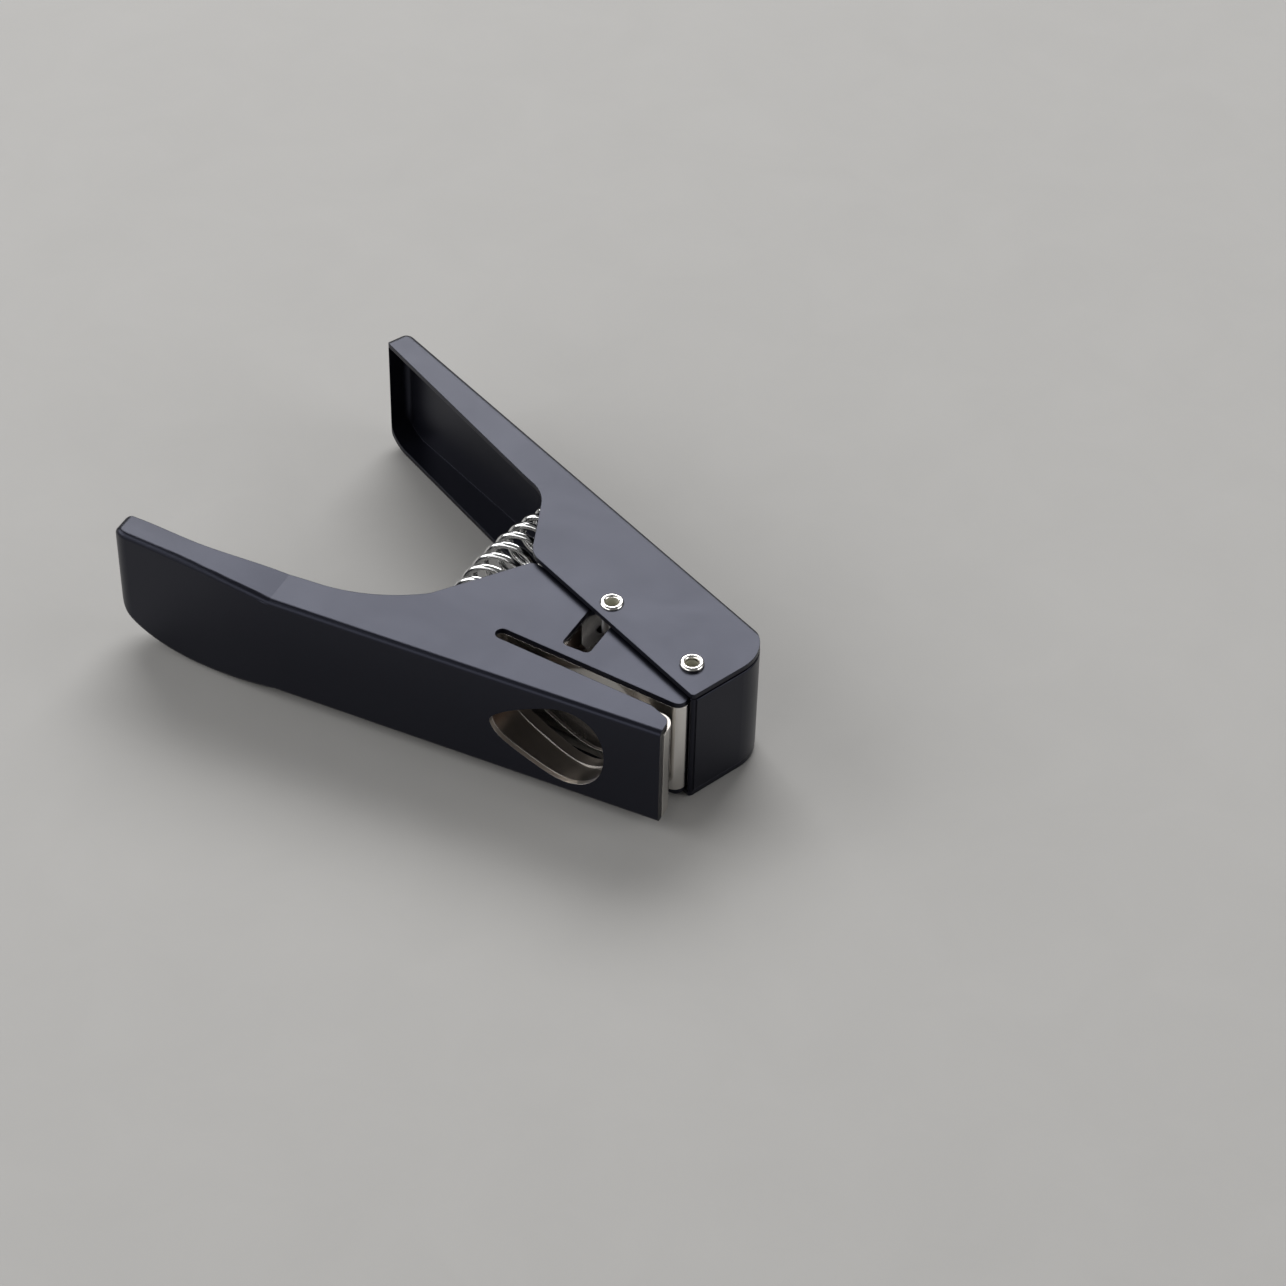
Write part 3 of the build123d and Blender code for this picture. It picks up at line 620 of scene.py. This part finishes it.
@dataclass
class BarrelSpring:
    """Return spring between the handles, wound as a barrel on an axis that bends to meet both webs squarely.

    Each entry of cap_profile is a ring of the rounded cut end: how far out it stands, in caps, and its share of the
    wire's width.
    """

    foot: Point = (-64.5 * MM, -22.6 * MM, 18.05 * MM)
    turns: tuple[float, ...] = (0.0, math.radians(-5.3), math.radians(5.8), math.radians(27.2))
    foot_bend: float = 40.0 * MM
    seat_bend: float = 13.0 * MM
    lever_web: float = 19.9 * MM
    wire: float = 1.9 * MM
    seat_gap: float = 0.25 * MM
    middle_radius: float = 7.4 * MM
    end_radius: float = 3.1 * MM
    half_turns: int = 29
    end_share: float = 0.036
    end_power: int = 8
    start_turn: float = math.radians(95.5)
    steps: int = 36
    sides: int = 20
    cap: float = 0.18 * MM
    cap_profile: tuple[tuple[float, float], ...] = ((0.7, 0.85), (1.0, 0.5), (1.02, 0.0))

    def bends(self) -> tuple[np.ndarray, np.ndarray]:
        """The three bends of the axis. The middle one is as wide as it must be to end on the lever's web.

        Returns:
            Signed radius of each bend, and its start point, shaped (4, 3) with the seat on the lever last.
        """
        turns = np.array(self.turns)
        steps = np.stack([-np.diff(np.cos(turns)), np.diff(np.sin(turns)), np.zeros(3)], axis=-1)
        web_normal = np.array([math.sin(turns[3]), math.cos(turns[3]), 0.0])
        foot = np.array(self.foot)
        spent = (steps[0] * -self.foot_bend + steps[2] * self.seat_bend + foot) @ web_normal
        radii = np.array([-self.foot_bend, (self.lever_web - spent) / (steps[1] @ web_normal), self.seat_bend])
        return radii, np.vstack([foot, foot + np.cumsum(steps * radii[:, None], axis=0)])

    def axis(self, share: np.ndarray) -> tuple[np.ndarray, np.ndarray]:
        """The axis at shares of its length between the wire's two ends.

        Args:
            share: shares of the length, 0 at the die side handle and 1 at the lever.

        Returns:
            Points and sideways directions, each shaped (shares, 3).
        """
        radii, starts = self.bends()
        turns = np.array(self.turns)
        lengths = radii * np.diff(turns)
        inset = self.wire / 2 + self.seat_gap
        along = inset + (lengths.sum() - 2 * inset) * share
        ends = np.cumsum(lengths)
        bend = np.searchsorted(ends[:2], along)
        turn = turns[bend] + (along - (ends - lengths)[bend]) / radii[bend]
        across = np.cos(turns[bend]) - np.cos(turn)
        ahead = np.sin(turn) - np.sin(turns[bend])
        point = starts[bend] + np.stack([across, ahead, np.zeros(len(turn))], axis=-1) * radii[bend][:, None]
        return point, np.stack([np.cos(turn), -np.sin(turn), np.zeros(len(turn))], axis=-1)

    def wire_line(self) -> np.ndarray:
        """Centre line of the wire: a helix that narrows as a parabola and whose pitch closes at both ends.

        Returns:
            Points shaped (steps, 3).
        """
        share = np.linspace(0.0, 1.0, self.half_turns * self.steps + 1)
        way = 2.0 * share - 1.0
        spread = way + self.end_share * way * (1.0 - way**self.end_power)
        point, side = self.axis((1.0 + spread) / 2)
        radius = (self.end_radius + (self.middle_radius - self.end_radius) * (1.0 - way**2))[:, None]
        turn = (self.start_turn - math.pi * self.half_turns * share)[:, None]
        return point + side * (radius * np.cos(turn)) + np.array([0.0, 0.0, 1.0]) * (radius * np.sin(turn))

    def build(self, material: bpy.types.Material) -> None:
        """Carries a round section with rounded cut ends along the wire's line, between the handles.

        Args:
            material: the wire's finish.
        """
        line = self.wire_line()
        heading = np.gradient(line, axis=0)
        heading /= np.linalg.norm(heading, axis=1)[:, None]
        size = np.ones(len(line))
        ends = []
        for end, sign in ((0, -1.0), (-1, 1.0)):
            ends.append([(line[end] + heading[end] * sign * self.cap * out, heading[end], shrink)
                         for out, shrink in self.cap_profile])
        before, after = ends[0][::-1], ends[1]
        line = np.vstack([[e[0] for e in before], line, [e[0] for e in after]])
        heading = np.vstack([[e[1] for e in before], heading, [e[1] for e in after]])
        size = np.concatenate([[e[2] for e in before], size, [e[2] for e in after]])
        lateral = np.cross(heading, np.array([0.0, 1.0, 0.0]))
        lateral /= np.linalg.norm(lateral, axis=1)[:, None]
        second = np.cross(heading, lateral)
        turn = np.linspace(0.0, 2 * math.pi, self.sides, endpoint=False)
        cosine, sine = np.cos(turn)[None, :, None], np.sin(turn)[None, :, None]
        ring = lateral[:, None, :] * cosine + second[:, None, :] * sine
        rows = line[:, None, :] + ring * (size * self.wire / 2)[:, None, None]
        run = np.concatenate([[0.0], np.cumsum(np.linalg.norm(np.diff(line, axis=0), axis=1))])
        around = np.linspace(0.0, 1.0, self.sides + 1)
        uv = np.stack(np.broadcast_arrays(around[None, :], run[:, None]), axis=-1)
        piece = mesh_object("barrel_spring", rows, uv, material)
        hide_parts("return_spring")
        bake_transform(piece)
        log.info("built %s with %d rings", piece.name, len(line))


@dataclass
class Handles:
    """The two pressed handles."""

    nodes: tuple[str, ...] = ("body_shell", "lever_shell")

    def build(self) -> None:
        """Dresses both shells in the satin paint."""
        paint = SatinPaint().build()
        for node in self.nodes:
            dress(node, paint)


@dataclass
class DieSet:
    """Plated blocks, punch and their fixings."""

    plated: tuple[str, ...] = ("die_block", "guide_block", "slot_stop")
    ground: tuple[str, ...] = ("punch", "block_dowels")
    oxide: tuple[str, ...] = ("block_screws",)

    def build(self) -> None:
        """Dresses the die set."""
        for nodes, finish in ((self.plated, NICKEL), (self.ground, TOOL_STEEL), (self.oxide, OXIDE)):
            material = finish.build()
            for node in nodes:
                dress(node, material)


@dataclass
class PinsAndSleeves:
    """Tubular rivets, sleeves, washers and spring posts."""

    bright: tuple[str, ...] = ("pivot_rivet", "drive_rivet")
    zinc: tuple[str, ...] = (
        "pivot_sleeve", "pivot_washer_top", "pivot_washer_bottom", "drive_sleeve",
        "drive_washer_top", "drive_washer_bottom", "body_spring_post", "lever_spring_post",
    )

    def build(self) -> None:
        """Dresses the rivets and the small turned pieces."""
        for nodes, finish in ((self.bright, RIVET), (self.zinc, ZINC)):
            material = finish.build()
            for node in nodes:
                dress(node, material)


@dataclass(frozen=True)
class Softbox:
    """A soft rectangular light that looks at the object. Its power is in watts, its place and size in metres."""

    name: str
    energy: float
    place: Point
    size: tuple[float, float]
    target: Point = (-0.06, 0.02, 0.0)

    def build(self) -> None:
        """Sets up the light."""
        data = bpy.data.lights.new(self.name, "AREA")
        data.shape = "RECTANGLE"
        data.size, data.size_y = self.size
        data.energy = self.energy
        light = bpy.data.objects.new(self.name, data)
        bpy.context.scene.collection.objects.link(light)
        light.location = self.place
        aim = Vector(self.target) - Vector(self.place)
        light.rotation_mode = "QUATERNION"
        light.rotation_quaternion = aim.to_track_quat("-Z", "Y")


@dataclass
class Studio:
    """Pale floor, soft lights and the camera."""

    camera_place: Point = (0.242713, -0.576182, 0.615912)
    camera_target: Point = (-0.021911, 0.019124, 0.01805)
    camera_roll: float = math.radians(1.5014)
    lens: float = 96.553
    sensor: float = 36.0
    nearest: float = 0.01
    floor_size: float = 6.0
    floor_colour: Colour = (0.40, 0.393, 0.382)
    floor_shade: float = 0.97
    floor_specular: float = 0.2
    floor_roughness: float = 0.8
    world_level: float = 0.135
    lights: tuple[Softbox, ...] = (
        Softbox("back_softbox", 78.0, (-0.9, 1.9, 1.85), (2.4, 1.4)),
        Softbox("front_softbox", 5.5, (-0.42, -1.27, 0.41), (1.0, 0.9)),
        Softbox("right_softbox", 5.0, (1.1, 0.2, 0.45), (0.9, 0.5)),
        Softbox("left_softbox", 21.0, (-1.6, -0.55, 0.95), (1.6, 1.2)),
    )

    def camera(self) -> None:
        """Camera at the photograph's viewing angle."""
        data = bpy.data.cameras.new("photo_camera")
        data.lens = self.lens
        data.sensor_width = self.sensor
        data.clip_start = self.nearest
        camera = bpy.data.objects.new("photo_camera", data)
        bpy.context.scene.collection.objects.link(camera)
        heading = Vector(self.camera_target) - Vector(self.camera_place)
        turn = heading.to_track_quat("-Z", "Y").to_matrix().to_4x4()
        roll = Matrix.Rotation(self.camera_roll, 4, "Z")
        camera.matrix_world = Matrix.Translation(self.camera_place) @ turn @ roll
        bpy.context.scene.camera = camera

    def floor(self) -> None:
        """A large plain pale floor, a little uneven in tone."""
        half = self.floor_size / 2
        mesh = bpy.data.meshes.new("studio_floor")
        corners = [(-half, -half, 0.0), (half, -half, 0.0), (half, half, 0.0), (-half, half, 0.0)]
        mesh.from_pydata(corners, [], [(0, 1, 2, 3)])
        material = bpy.data.materials.new("pale_floor")
        material.use_nodes = True
        tree = material.node_tree
        shader = tree.nodes["Principled BSDF"]
        shader.inputs["Specular IOR Level"].default_value = self.floor_specular
        tone = place_group(tree, GROUPS.smudge(), Low=0.0, High=1.0)
        deeper = tuple(value * self.floor_shade for value in self.floor_colour)
        colour = mix_colours(tree, tone.outputs["Value"], self.floor_colour, deeper)
        tree.links.new(colour, shader.inputs["Base Color"])
        shader.inputs["Roughness"].default_value = self.floor_roughness
        mesh.materials.append(material)
        floor = bpy.data.objects.new("studio_floor", mesh)
        bpy.context.scene.collection.objects.link(floor)

    def build(self) -> None:
        """Sets up camera, floor, lights and world."""
        self.camera()
        self.floor()
        for light in self.lights:
            light.build()
        world = bpy.data.worlds.new("studio_world")
        world.use_nodes = True
        background = world.node_tree.nodes["Background"]
        background.inputs["Color"].default_value = (1.0, 1.0, 1.0, 1.0)
        background.inputs["Strength"].default_value = self.world_level
        bpy.context.scene.world = world
        bpy.context.scene.view_settings.view_transform = "Standard"
        log.info("studio is set")


def main() -> None:
    """Builds and dresses every piece, in order."""
    logging.basicConfig(level=logging.INFO, stream=sys.stdout, format="%(name)s: %(message)s")
    Handles().build()
    DieSet().build()
    PinsAndSleeves().build()
    BarrelSpring().build(DrawnWire().build())
    Studio().build()


if __name__ == "__main__":
    main()
